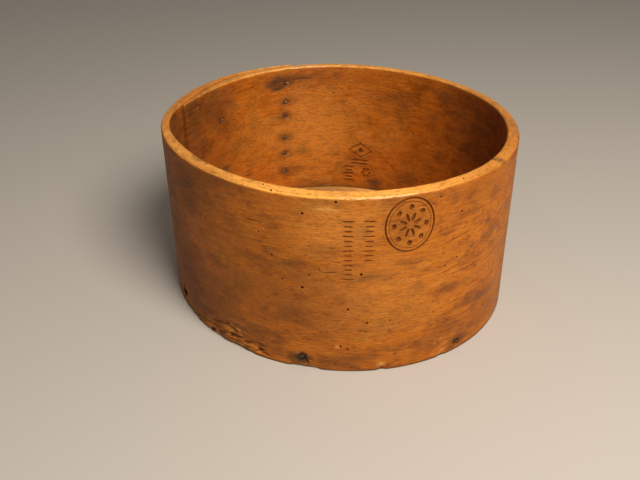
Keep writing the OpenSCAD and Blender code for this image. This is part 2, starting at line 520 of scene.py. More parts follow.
@dataclass(frozen=True)
class StripShape:
    """The bent strip's sizes, as in the CAD part. Travel is the angle gone round from its outer end."""

    length: float = 203.0
    width: float = 190.0
    height: float = 100.5
    wall: float = 7.0
    lap_angle: float = 158.0
    lap_span: float = 60.0
    outer_tip: float = 2.0
    outer_paring: float = 48.0
    inner_tip: float = 2.0
    inner_paring: float = 30.0
    lap_proud: float = 1.5
    lap_dip: float = 40.0
    lap_gap: float = 0.15
    thin_after: float = 16.0
    thin_reach: float = 28.0
    thin_by: float = 2.0
    spring_out: float = 0.8

    # Points at the very ends of the strip may fall this angle past them.
    NEAR_END: ClassVar[float] = 0.1

    @property
    def end(self) -> float:
        """Travel at the inner end."""
        return 360.0 + self.lap_span

    @property
    def mm_per_degree(self) -> float:
        """Length of strip in one degree of travel."""
        return math.radians(1) * (self.length + self.width) / 4

    def oval(self, angle: Array) -> Array:
        """Radius of the outside of the oval."""
        a = np.radians(angle)
        return 1 / np.hypot(2 * np.cos(a) / self.length, 2 * np.sin(a) / self.width)

    def thinness(self, travel: Array) -> Array:
        """How far the strip is thinned just past the lap, from 0 to 1."""
        return ease(1 - np.abs(travel - self.lap_span - self.thin_after) / self.thin_reach)

    def proud(self, travel: Array) -> Array:
        """How far the strip's outer face stands out from the oval."""
        faired = self.lap_proud * np.maximum(0, 1 - travel / self.lap_span)
        return faired + self.spring_out * self.thinness(travel)

    def seam_depth(self, travel: Array) -> Array:
        """Depth of the inner face of the first turn, which the inner end lies against."""
        layer = self.outer_tip + (self.wall - self.outer_tip) * np.minimum(1, travel / self.outer_paring)
        return layer - self.thin_by * self.thinness(travel) - self.proud(travel)

    def dip(self, travel: Array) -> Array:
        """Depth to which the strip sinks on its way under its own outer end."""
        sunk = self.outer_tip - self.lap_proud + self.lap_gap
        return sunk * ease(1 - (360 - travel) / self.lap_dip)

    def outer_depth(self, travel: Array) -> Array:
        """Depth of the strip's outer face below the oval."""
        under = self.seam_depth(travel - 360) + self.lap_gap
        return np.where(travel < 360, self.dip(travel) - self.proud(travel), under)

    def inner_depth(self, travel: Array) -> Array:
        """Finds how deep the strip's inner face lies below the oval.

        Args:
            travel: travel of each place.
        Returns:
            Depth of each place.
        """
        paring = np.maximum(0, 1 - (self.end - travel) / self.inner_paring)
        under = self.outer_depth(travel) + self.wall + (self.inner_tip - self.wall) * paring
        return np.where(travel < 360, self.dip(travel) + self.seam_depth(travel), under)

    def travel_at(self, angle: float, face: Face) -> float:
        """Travel at which a face shows in a direction, on the outermost or the innermost layer."""
        first = (angle - self.lap_angle) % 360
        return first + 360 if face is Face.INNER and first <= self.lap_span else first

    def along(self, angle: float, face: Face) -> float:
        """Distance along the strip to a direction, on one face."""
        return self.travel_at(angle, face) * self.mm_per_degree

    def surface(self, angle: float, face: Face) -> float:
        """Finds how far out the hoop's outermost or innermost face is.

        Args:
            angle: direction from the middle.
            face: outer or inner.
        Returns:
            Radius.
        """
        travel = np.array(self.travel_at(angle, face))
        depth = self.outer_depth(travel) if face is Face.OUTER else self.inner_depth(travel)
        return float(self.oval(np.array(angle)) - depth)

    def point(self, angle: float, z: float, face: Face, lift: float = 0.0) -> Array:
        """Finds a place on a face.

        Args:
            angle: direction from the middle.
            z: height.
            face: outer or inner.
            lift: distance off the wood.
        Returns:
            Position.
        """
        radius = self.surface(angle, face) + lift * face.value
        a = math.radians(angle)
        return np.array((radius * math.cos(a), radius * math.sin(a), z))

    def unroll(self, points: Array) -> tuple[Array, Array, Array]:
        """Finds where points lie on the unrolled strip.

        Args:
            points: positions, one row each.
        Returns:
            Travel, depth below the strip's outer face, and the share of the way through it, for each point.
        """
        angle = np.degrees(np.arctan2(points[:, 1], points[:, 0]))
        depth = self.oval(angle) - np.hypot(points[:, 0], points[:, 1])
        first = (angle - self.lap_angle) % 360
        seam = self.seam_depth(first) + self.lap_gap / 2
        tip = self.outer_tip - self.lap_proud + self.lap_gap / 2
        first = np.where((first > 360 - self.NEAR_END) & (depth < tip), 0.0, first)
        lapped = first <= self.lap_span + self.NEAR_END / 2
        travel = np.where(lapped & (depth > seam), first + 360, first)
        skin, back = self.outer_depth(travel), self.inner_depth(travel)
        return travel, depth - skin, (depth - skin) / (back - skin)


@dataclass(frozen=True)
class SoftPatch:
    """A soft patch on a face of the strip. The higher its edge value, the crisper its edge."""

    angle: float
    z: float
    long: float
    high: float
    strength: float
    edge: float = 3.0


@dataclass(frozen=True)
class Chip:
    """A place where the foot's outer edge has broken away."""

    angle: float
    long: float
    high: float
    deep: float
    lift: float


class PitCutter:
    """Collects the solids that cut holes, grooves and craters into the hoop."""

    # How far a cutting solid stands out of the wood, and how much of a groove's size is left at its ends.
    PROUD = 0.6
    END_TAPER = 0.45
    STROKE_POINTS = 6
    # How much of a hole's width is left at its bottom, and how upright it is when it counts as upright.
    HOLE_TAPER = 0.8
    UPRIGHT = 0.9

    def __init__(self, shape: StripShape) -> None:
        """Starts with nothing to cut.

        Args:
            shape: strip that is cut.
        """
        self.shape = shape
        self.points: list[Array] = []
        self.faces: list[tuple[int, ...]] = []

    @property
    def count(self) -> int:
        """Number of points so far."""
        return sum(len(p) for p in self.points)

    def stretch(self, rings: Array, mirrored: bool = False, closed: bool = False) -> None:
        """Adds a solid stretched over rings of points.

        Args:
            rings: positions by ring and by point of the ring.
            mirrored: whether the rings run the other way round.
            closed: whether the last ring joins the first.
        """
        faces = ring_faces(*rings.shape[:2], closed=closed, start=self.count)
        self.faces += [face[::-1] for face in faces] if mirrored else faces
        self.points.append(rings.reshape(-1, 3))

    def sweep(self, path: Sequence[Pair], face: Face, width: float, depth: float, closed: bool) -> None:
        """Adds a V-shaped groove.

        Args:
            path: angle and height of each point of its line.
            face: face of the strip that it is cut in.
            width: width at the surface.
            depth: depth at the bottom.
            closed: whether the line comes back to its start.
        """
        n = len(path)
        flare = width / 2 * (depth + self.PROUD) / depth
        mm = self.shape.mm_per_degree
        rings = []
        for i, (angle, z) in enumerate(path):
            before = path[i - 1 if closed or i else 0]
            after = path[(i + 1) % n if closed or i < n - 1 else i]
            along = np.array(((after[0] - before[0]) * mm, after[1] - before[1]))
            side = np.array((-along[1], along[0])) / np.linalg.norm(along) * flare
            taper = 1.0 if closed or 0 < i < n - 1 else self.END_TAPER
            corners = ((side * taper, self.PROUD), (-side * taper, self.PROUD), (0 * side, -depth * taper))
            rings.append([self.shape.point(angle + off[0] / mm, z + off[1], face, lift)
                          for off, lift in corners])
        self.stretch(np.array(rings), mirrored=face is Face.INNER, closed=closed)

    def stroke(self, face: Face, start: Pair, end: Pair, groove: Pair) -> None:
        """Adds a straight groove.

        Args:
            face: face that it is cut in.
            start: angle and height of one end.
            end: angle and height of the other.
            groove: its width and depth.
        """
        steps = np.linspace(0, 1, self.STROKE_POINTS)
        path = [(start[0] + (end[0] - start[0]) * t, start[1] + (end[1] - start[1]) * t) for t in steps]
        self.sweep(path, face, *groove, closed=False)

    def around(self, middle: Pair, long: float, high: float, turn: float) -> Pair:
        """Finds a place on an oval on the wall.

        Args:
            middle: angle and height of its middle.
            long: half its length.
            high: half its height.
            turn: angle round its middle, in radians.
        Returns:
            Angle and height of the place.
        """
        angle, z = middle
        return (angle + long * math.cos(turn) / self.shape.mm_per_degree, z + high * math.sin(turn))

    def lump(self, middle: Array, axes: Array, seed: int, roughness: float) -> None:
        """Adds a rough rounded solid.

        Args:
            middle: its centre.
            axes: three rows, each half an axis.
            seed: seed of its roughness.
            roughness: share of its size by which its surface strays.
        """
        ball = bmesh.new()
        bmesh.ops.create_icosphere(ball, subdivisions=2, radius=1.0)
        unit = np.array([v.co[:] for v in ball.verts])
        start = self.count
        turn = 1 if np.linalg.det(axes) > 0 else -1
        self.faces += [tuple(start + v.index for v in f.verts)[::turn] for f in ball.faces]
        ball.free()
        stray = 1 + np.random.default_rng(seed).uniform(-roughness, roughness, (len(unit), 1))
        self.points.append(middle + unit * stray @ axes)

    def crater(self, face: Face, place: Pair, size: Triple, seed: int, roughness: float = 0.22) -> None:
        """Adds a rough hollow in a face.

        Args:
            face: face that it is cut in.
            place: its angle and height.
            size: its length, height and depth.
            seed: seed of its roughness.
            roughness: share of its size by which its surface strays.
        """
        a = math.radians(place[0])
        long, high, depth = size
        axes = np.array(((-math.sin(a) * long / 2, math.cos(a) * long / 2, 0.0), (0.0, 0.0, high / 2),
                         (math.cos(a) * depth, math.sin(a) * depth, 0.0)))
        self.lump(self.shape.point(*place, face), axes, seed, roughness)

    def bore(self, face: Face, angle: float, z: float, width: float, depth: float = 3.0) -> None:
        """Adds a round hole driven straight into a face.

        Args:
            face: face that it is bored in.
            angle: direction of its mouth.
            z: height of its mouth.
            width: width of its mouth.
            depth: how deep it goes.
        """
        a = math.radians(angle)
        inwards = np.array((-math.cos(a), -math.sin(a), 0.0)) * face.value
        self.drill(self.shape.point(angle, z, face, self.PROUD), inwards, width, depth + self.PROUD)

    def drill(self, mouth: Array, inwards: Array, width: float, depth: float, sides: int = 10) -> None:
        """Adds a round hole that narrows a little.

        Args:
            mouth: middle of its mouth.
            inwards: direction in which it goes.
            width: width of its mouth.
            depth: how far it goes.
            sides: number of its sides.
        """
        up = np.array((0, 0, 1.0)) if abs(inwards[2]) < self.UPRIGHT else np.array((1.0, 0, 0))
        u = np.cross(inwards, up)
        u /= np.linalg.norm(u)
        v = np.cross(inwards, u)
        turns = np.linspace(0, FULL_TURN, sides, endpoint=False)
        loop = np.array([math.cos(t) * u + math.sin(t) * v for t in turns]) * width / 2
        self.stretch(np.array((mouth + loop, mouth + loop * self.HOLE_TAPER + inwards * depth)))

    def cut(self, piece: bpy.types.Object, lining: bpy.types.Material) -> None:
        """Cuts all the solids out of a piece and lines the cuts.

        Args:
            piece: object whose mesh is replaced by the cut one.
            lining: material of the cut faces.
        """
        tool = finish_mesh("pits", np.concatenate(self.points), self.faces)
        tool.data.materials.append(lining)
        cut = piece.modifiers.new("pits", "BOOLEAN")
        cut.operation = "DIFFERENCE"
        cut.solver = "MANIFOLD"
        cut.material_mode = "TRANSFER"
        cut.object = tool
        whole, solids = piece.data, tool.data
        solved = piece.evaluated_get(bpy.context.evaluated_depsgraph_get())
        piece.data = bpy.data.meshes.new_from_object(solved)
        piece.modifiers.clear()
        bpy.data.objects.remove(tool)
        bpy.data.meshes.remove(solids)
        bpy.data.meshes.remove(whole)


@dataclass(frozen=True)
class StampedMarks:
    """Plain stamped patterns. A place is an angle and a height, and a groove a width and a depth."""

    # Outside: an oval of two rings round a rosette of petals and pips.
    oval_at: Pair = (-21.0, 83.7)
    rings: tuple[tuple[Pair, Pair], ...] = (((23.4, 28.0), (1.2, 0.8)), ((20.2, 24.4), (0.7, 0.35)))
    ring_sides: int = 48
    petals: int = 8
    petal_start: Pair = (1.6, 1.9)
    petal_end: Pair = (5.6, 6.6)
    petal_groove: Pair = (1.9, 0.9)
    pip_reach: Pair = (7.8, 9.4)
    pip: Triple = (2.8, 2.8, 1.0)
    # Beside it: columns of tally strokes, as angle, top height and count, with each third stroke longer.
    columns: tuple[tuple[float, float, int], ...] = ((-32.0, 87.4, 9), (-37.6, 87.5, 13))
    tally_group: int = 3
    tally_pitch: float = 2.6
    tally_short: float = 4.4
    tally_long: float = 6.4
    tally_groove: Pair = (1.1, 0.6)
    # Inside: a lozenge round a pip, bars as left and right angle and height, and a ring of pips.
    lozenge: tuple[Pair, ...] = ((124.0, 40.9), (129.2, 45.9), (134.4, 40.9), (129.2, 35.9))
    lozenge_pip_at: Pair = (129.2, 40.9)
    lozenge_pip: Triple = (3.6, 3.4, 0.8)
    lozenge_seed: int = 9
    bars: tuple[Triple, ...] = (
        (133.6, 125.0, 33.3), (133.6, 125.0, 30.7), (136.7, 131.8, 27.9), (136.0, 132.6, 25.3),
        (136.7, 131.8, 22.7), (136.0, 132.6, 20.1), (136.7, 131.8, 17.5))
    inner_groove: Pair = (1.4, 0.7)
    spots: int = 6
    spots_at: Pair = (126.5, 24.2)
    spots_reach: float = 2.8
    spot: Triple = (1.9, 1.9, 0.7)

    def add_to(self, cutter: PitCutter) -> None:
        """Adds all the marks to a cutter.

        Args:
            cutter: collects the grooves.
        """
        self.add_oval(cutter)
        self.add_columns(cutter)
        self.add_inner(cutter)

    def add_oval(self, cutter: PitCutter) -> None:
        """Adds the oval with its rosette to a cutter.

        Args:
            cutter: collects the grooves.
        """
        for (long, high), groove in self.rings:
            turns = np.linspace(0, FULL_TURN, self.ring_sides, endpoint=False)
            path = [cutter.around(self.oval_at, long / 2, high / 2, t) for t in turns]
            cutter.sweep(path, Face.OUTER, *groove, closed=True)
        for petal in range(self.petals):
            turn = FULL_TURN * (petal + 0.5) / self.petals
            ends = (cutter.around(self.oval_at, *reach, turn)
                    for reach in (self.petal_start, self.petal_end))
            cutter.stroke(Face.OUTER, *ends, self.petal_groove)
            place = cutter.around(self.oval_at, *self.pip_reach, FULL_TURN * petal / self.petals)
            cutter.crater(Face.OUTER, place, self.pip, seed=petal)

    def add_columns(self, cutter: PitCutter) -> None:
        """Adds the columns of tally strokes to a cutter.

        Args:
            cutter: collects the grooves.
        """
        for angle, top, count in self.columns:
            for i in range(count):
                long = self.tally_short if i % self.tally_group else self.tally_long
                half = long / 2 / cutter.shape.mm_per_degree
                z = top - self.tally_pitch * i
                cutter.stroke(Face.OUTER, (angle - half, z), (angle + half, z), self.tally_groove)

    def add_inner(self, cutter: PitCutter) -> None:
        """Adds the marks on the inner wall to a cutter.

        Args:
            cutter: collects the grooves.
        """
        cutter.sweep(self.lozenge, Face.INNER, *self.inner_groove, closed=True)
        cutter.crater(Face.INNER, self.lozenge_pip_at, self.lozenge_pip, self.lozenge_seed)
        for left, right, z in self.bars:
            cutter.stroke(Face.INNER, (right, z), (left, z), self.inner_groove)
        for spot in range(self.spots):
            turn = FULL_TURN * spot / self.spots
            place = cutter.around(self.spots_at, self.spots_reach, self.spots_reach, turn)
            cutter.crater(Face.INNER, place, self.spot, seed=spot)


@dataclass(frozen=True)
class SmallHoles:
    """Worm holes on the walls and the rim, and fine scratches."""

    # Angle, height and width of the holes that stand out.
    worm_holes: tuple[Triple, ...] = (
        (-41, 97.5, 1.3), (-50, 90.5, 1.3), (-63.5, 76.5, 0.9), (-59.5, 65.5, 1.1), (-45.5, 61.5, 0.8),
        (-48.5, 57.5, 0.9), (-56.5, 53, 0.9), (-50.5, 50, 1.5), (-37.5, 39, 1.2), (-39.5, 16, 1.2),
        (-37.5, 14.5, 1.2), (-34, 59, 1.4), (-32, 30.5, 1.2), (-25.5, 31, 0.9), (-12, 30.5, 0.9),
        (-32.5, 25.5, 0.9), (-23.5, 9.5, 0.9), (-5, 84.5, 1.1), (-12.5, 95.5, 1), (-5.5, 59.5, 0.9),
        (-9.5, 57, 0.9),
    )
    # Holes strewn over the rest of the hoop.
    strewn: int = 40
    strewn_seed: int = 41
    strewn_angles: Pair = (10, 290)
    strewn_heights: Pair = (4, 94)
    strewn_widths: Pair = (0.7, 1.2)
    strewn_outside: float = 0.6
    lowest_inside: float = 16.0
    # Angle and inset from the outside of the holes in the rim.
    rim_holes: tuple[Pair, ...] = ((-59.0, 1.0), (-62.4, 4.2), (-4.0, 3.0), (140.0, 3.4))
    rim_hole_width: float = 1.2
    # How far above the rim the tool for a hole starts, and how deep it goes from there.
    rim_hole_above: float = 1.0
    rim_hole_depth: float = 4.0
    # Angle and height of both ends of each scratch, and of each finer one.
    scratches: tuple[tuple[Pair, Pair], ...] = (
        ((-11.5, 69), (0.5, 72.5)), ((-67.5, 82), (-63.5, 82.5)), ((-11.5, 52.5), (-3.5, 55)),
        ((-1.5, 47.5), (4.5, 49)), ((100, 41), (112, 42)), ((250, 63), (258, 62)))
    scratch_groove: Pair = (0.7, 0.35)
    hairlines: tuple[tuple[Pair, Pair], ...] = (
        ((-40.6, 54.5), (-37.3, 54.7)), ((-40.4, 56.3), (-39, 56.3)), ((-40.9, 26.4), (-37.7, 26.6)),
        ((-35.4, 25.7), (-30.6, 25.3)), ((-36.3, 23.5), (-32, 23.3)), ((-45.3, 59.6), (-40.4, 60.2)),
        ((-26.5, 23.6), (-23.8, 22.8)), ((-42.6, 31.7), (-39.2, 32)), ((-27.7, 52.5), (-24.3, 51.7)))
    hairline_groove: Pair = (0.5, 0.3)

    def add_to(self, cutter: PitCutter) -> None:
        """Adds all the holes and scratches to a cutter.

        Args:
            cutter: collects them.
        """
        for angle, z, width in self.worm_holes:
            cutter.bore(Face.OUTER, angle, z, width)
        draw = np.random.default_rng(self.strewn_seed)
        for _ in range(self.strewn):
            spans = (self.strewn_angles, self.strewn_heights, self.strewn_widths)
            angle, z, width = (draw.uniform(*span) for span in spans)
            face = Face.OUTER if draw.uniform() < self.strewn_outside else Face.INNER
            cutter.bore(face, angle, z if face is Face.OUTER else max(z, self.lowest_inside), width)
        for angle, inset in self.rim_holes:
            mouth = cutter.shape.point(angle, cutter.shape.height + self.rim_hole_above, Face.OUTER, -inset)
            cutter.drill(mouth, np.array((0, 0, -1.0)), self.rim_hole_width, self.rim_hole_depth)
        for lines, groove in ((self.scratches, self.scratch_groove), (self.hairlines, self.hairline_groove)):
            for start, end in lines:
                cutter.stroke(Face.OUTER, start, end, groove)


@dataclass(frozen=True)
class Hollows:
    """Hollows bitten into the wood by nails, and knocks along the rim, as length, height and depth."""

    foot_head: Triple = (9.0, 8.0, 2.4)
    foot_head_drop: float = 0.3
    foot_roughness: float = 0.36
    lap_head: Triple = (6.4, 6.2, 1.0)
    bent_point: Triple = (6.6, 4.6, 0.6)
    bent_point_lag: float = 0.8
    # Face, angle, length and depth of each knock.
    knocks: tuple[tuple[Face, float, float, float], ...] = (
        (Face.OUTER, -93.5, 5, 1.0), (Face.OUTER, 25, 6, 1.3), (Face.INNER, 104.4, 6, 1.6),
        (Face.OUTER, -13, 4, 0.9), (Face.INNER, 13, 5, 2.4), (Face.OUTER, 205, 6, 1.2))
    knock_high: float = 2.4
    # First seeds of the hollows' roughness.
    head_seed: int = 60
    knock_seed: int = 80
    point_seed: int = 90

    def add_to(self, cutter: PitCutter, nails: Sequence["WroughtNail"]) -> None:
        """Adds all the hollows to a cutter.

        Args:
            cutter: collects them.
            nails: all the nails.
        """
        for nail in nails:
            head_seed = self.head_seed + nail.number
            if nail.clenched:
                cutter.crater(Face.OUTER, (nail.angle, nail.z), self.lap_head, head_seed)
                place = (nail.angle - self.bent_point_lag, nail.z)
                cutter.crater(Face.INNER, place, self.bent_point, self.point_seed + nail.number)
            else:
                long, high, depth = (size * nail.hollow for size in self.foot_head)
                place = (nail.angle, nail.z - self.foot_head_drop)
                cutter.crater(Face.OUTER, place, (long, high, depth), head_seed, self.foot_roughness)
        for i, (face, angle, long, depth) in enumerate(self.knocks):
            cutter.crater(face, (angle, cutter.shape.height), (long, self.knock_high, depth),
                          self.knock_seed + i)


@dataclass(frozen=True)
class WearAndPaintedLight:
    """Per face: where the hoop is rubbed, clean, stained, dirty or scarred, and its painted shade and
    highlight.
    """

    # Rubbed paler by hands outside, and by scooping inside.
    outer_rubs: tuple[SoftPatch, ...] = (SoftPatch(-41.5, 85, 40, 34, 0.18), SoftPatch(-28, 47, 56, 40, 0.13))
    inner_rubs: tuple[SoftPatch, ...] = (
        SoftPatch(148.5, 53, 70, 60, 0.26), SoftPatch(177, 56, 40, 50, 0.12), SoftPatch(116, 62, 30, 40, 0.08))
    # Kept free of smoke by handling.
    outer_clean: tuple[SoftPatch, ...] = (SoftPatch(4, 50, 70, 150, 0.62),)
    outer_stains_and_shade: tuple[SoftPatch, ...] = (
        # Painted shade on the left, the side turned away from the lamp.
        SoftPatch(-111.5, 52, 60, 150, 0.42), SoftPatch(-98, 26, 44, 56, 0.60), SoftPatch(-84, 20, 50, 46, 0.42),
        SoftPatch(-94, 86, 46, 34, 0.50), SoftPatch(-79, 97, 44, 9, 0.44), SoftPatch(-90, 12, 60, 12, 0.62),
        # Streaks along the grain in front.
        SoftPatch(-51.5, 63.5, 17, 6, 0.60), SoftPatch(-64.5, 61.5, 26, 6, 0.42), SoftPatch(-53, 34.5, 25, 12, 0.46),
        SoftPatch(-65.5, 16.5, 24, 11, 0.52), SoftPatch(-39.5, 7, 26, 9, 0.50), SoftPatch(-81.5, 49.5, 22, 8, 0.42),
        SoftPatch(-54, 44, 76, 50, 0.26), SoftPatch(-21, 83.5, 20, 24, 0.20),
        # Streaks and specks on the right; the two soft patches low down at -12 and 10 degrees are painted
        # shade.
        SoftPatch(-6.5, 42.5, 26, 5, 0.38), SoftPatch(4.5, 27.5, 22, 5, 0.26), SoftPatch(10.5, 55.5, 6, 3, 0.45),
        SoftPatch(-21.5, 15, 30, 5, 0.24), SoftPatch(-12, 13, 24, 12, 0.24), SoftPatch(10, 12, 24, 14, 0.28),
        SoftPatch(0, 92, 44, 20, 0.18), SoftPatch(-1.4, 68.2, 3.4, 2.2, 0.45), SoftPatch(5.7, 63.8, 3.2, 2.2, 0.40),
        SoftPatch(10.4, 56, 5, 3.4, 0.45), SoftPatch(-17.4, 64.2, 3.2, 1.8, 0.40), SoftPatch(-19.6, 60, 4, 2.2, 0.42),
        SoftPatch(-12.7, 96.5, 6, 2.4, 0.55), SoftPatch(-14.4, 93, 3.4, 2.2, 0.50), SoftPatch(4.1, 80.2, 3.4, 1.8, 0.45),
        SoftPatch(6.9, 72, 3.4, 2.2, 0.40), SoftPatch(22.5, 97, 14, 4, 0.40),
        # Round the back.
        SoftPatch(120, 56, 60, 14, 0.40), SoftPatch(185, 31, 50, 12, 0.40), SoftPatch(235, 71, 50, 16, 0.40),
    )
    inner_stains_and_shade: tuple[SoftPatch, ...] = (
        # Iron stain across the top nail of the lap.
        SoftPatch(164.5, 91, 25, 7.6, 0.84, edge=7), SoftPatch(155, 93.5, 26, 2.6, 0.74, edge=5),
        # Along the far wall.
        SoftPatch(148, 93, 44, 14, 0.22), SoftPatch(140, 94, 6, 5, 0.50), SoftPatch(115, 81, 40, 9, 0.30),
        SoftPatch(109.5, 77.5, 8, 6, 0.48), SoftPatch(95, 74.5, 8, 5, 0.40), SoftPatch(88, 90.5, 24, 10, 0.45),
        SoftPatch(122.5, 17.5, 11, 7, 0.80), SoftPatch(107.5, 25.5, 22, 9, 0.42), SoftPatch(178.5, 39.5, 20, 8, 0.20),
        SoftPatch(154.5, 40, 14, 1.4, 0.40), SoftPatch(159, 27, 23, 2.8, 0.62),
        # Dirt on the inner end, before it and in the recess past it. The narrow tall patch over the end face
        # is painted shade on a face that the lamp lights.
        SoftPatch(198.5, 87, 40, 32, 0.58), SoftPatch(195, 77.4, 9, 6, 0.55), SoftPatch(212, 86.8, 34, 54, 0.64),
        SoftPatch(226, 74, 34, 90, 0.72), SoftPatch(217.9, 55, 3, 150, 0.68), SoftPatch(242, 70, 40, 70, 0.50),
        SoftPatch(201.5, 51.3, 60, 60, 0.26),
        # Painted shade on the inner wall on the right, which faces away from the lamp.
        SoftPatch(56, 80, 98, 92, 0.60),
    )
    # Dirt in knocks on the rim.
    outer_rim_marks: tuple[SoftPatch, ...] = (SoftPatch(13, 100, 6, 4, 0.70, edge=5),)
    inner_rim_marks: tuple[SoftPatch, ...] = (
        SoftPatch(-91, 100, 9, 1.6, 0.55, edge=6), SoftPatch(13, 100, 5, 4, 0.75, edge=5),
        SoftPatch(-86, 100, 2, 4, 0.55, edge=5))
    # Small fresh scars.
    outer_scars: tuple[SoftPatch, ...] = (
        SoftPatch(-40.5, 16, 3, 1.8, 0.9, edge=6), SoftPatch(-11, 10, 2.0, 1.2, 0.8, edge=6),
        SoftPatch(-8.6, 11.5, 2.2, 1.4, 0.8, edge=6), SoftPatch(-7.4, 8.5, 1.8, 1.2, 0.8, edge=6),
        SoftPatch(-27.5, 4, 4, 3, 0.7, edge=5), SoftPatch(-44, 93.5, 9, 1.4, 0.9), SoftPatch(-16, 60.5, 8, 1.4, 0.6),
        SoftPatch(-52, 8, 4, 2, 0.7, edge=5))
    # How far hands have polished the rim pale, by angle. The highest values, at the front, also paint the
    # lamp's highlight there.
    rim_polish_and_highlight: tuple[Pair, ...] = (
        (-110, 0.58), (-75, 0.62), (-57, 1.15), (-32, 1.15), (-10, 0.62), (25, 0.24),
        (60, 0.36), (100, 0.64), (140, 0.84), (175, 0.64), (210, 0.20), (250, 0.56))
    # Iron stains round the nails: their size, and their strength round lap heads and round bent points.
    halo_long: float = 11.0
    halo_high: float = 6.0
    lap_head_halo: float = 0.6
    bent_point_halo: float = 0.62
    bent_point_lag: float = 0.4
    # How far the edges of patches stray, in broad and in fine steps, and how fast the patches fade.
    stray: Pair = (0.4, 0.25)
    fade: float = 0.8
    # Share of the way through the strip where the look of its inside begins, and how long it takes to.
    inner_look: Pair = (0.3, 0.4)
    # Depth of a break that bares the wood wholly.
    bare_depth: float = 0.5
    # Start, gain and most of the tone of pale tufts, of dirt and painted shade between them, and of dirt
    # flecks on the rim.
    tuft_tone: Triple = (0.30, 1.2, 0.7)
    gap_dirt_and_shade_tone: Triple = (-0.1, -2.2, 0.95)
    fleck_tone: Triple = (-0.8, 0.9, 0.16)
    # How far below the rim it is rubbed outside, how much farther inside, how much farther outside as the
    # polish rises above a level, which paints a highlight down the front rim's rounded edge, and how
    # strongly at the very top.
    rub_reach: float = 0.45
    rub_inside: float = 0.55
    highlight_spread: float = 1.2
    rub_level: float = 0.6
    rub_start: float = 1.3
    # How much fine specks add to the flecks, and the flecks to the polish.
    speck_share: float = 0.6
    fleck_polish: float = 0.35
    # How much polish takes off the flecks, and rubbing off the stains.
    fleck_clean: float = 0.7
    stain_clean: float = 0.85
    # Height and strength of the darkening along the foot, which is dirt and painted contact shadow, and of
    # the painted shade in the corner above the board.
    foot_dirt_and_shadow: Pair = (2.2, 0.85)
    corner_shade: Pair = (5.0, 0.38)
    # Height of that corner, and of where its painted shade starts, out of sight behind the board.
    corner_z: float = 11.8
    corner_from: float = 9.0

    def polish(self, angle: Array) -> Array:
        """How far the rim is polished, by angle."""
        directions, levels = zip(*self.rim_polish_and_highlight)
        return np.interp(angle, directions, levels, period=360)

    def halos(self, nails: Sequence["WroughtNail"]) -> tuple[list[SoftPatch], list[SoftPatch]]:
        """Iron stains that the nails have left.

        Args:
            nails: all the nails.
        Returns:
            The stains on the outer face, and on the inner.
        """
        size = (self.halo_long, self.halo_high)
        outer = [SoftPatch(nail.angle, nail.z, *size, self.lap_head_halo if nail.clenched else nail.hollow)
                 for nail in nails]
        inner = [SoftPatch(nail.angle - self.bent_point_lag, nail.z, *size, self.bent_point_halo)
                 for nail in nails if nail.clenched]
        return outer, inner


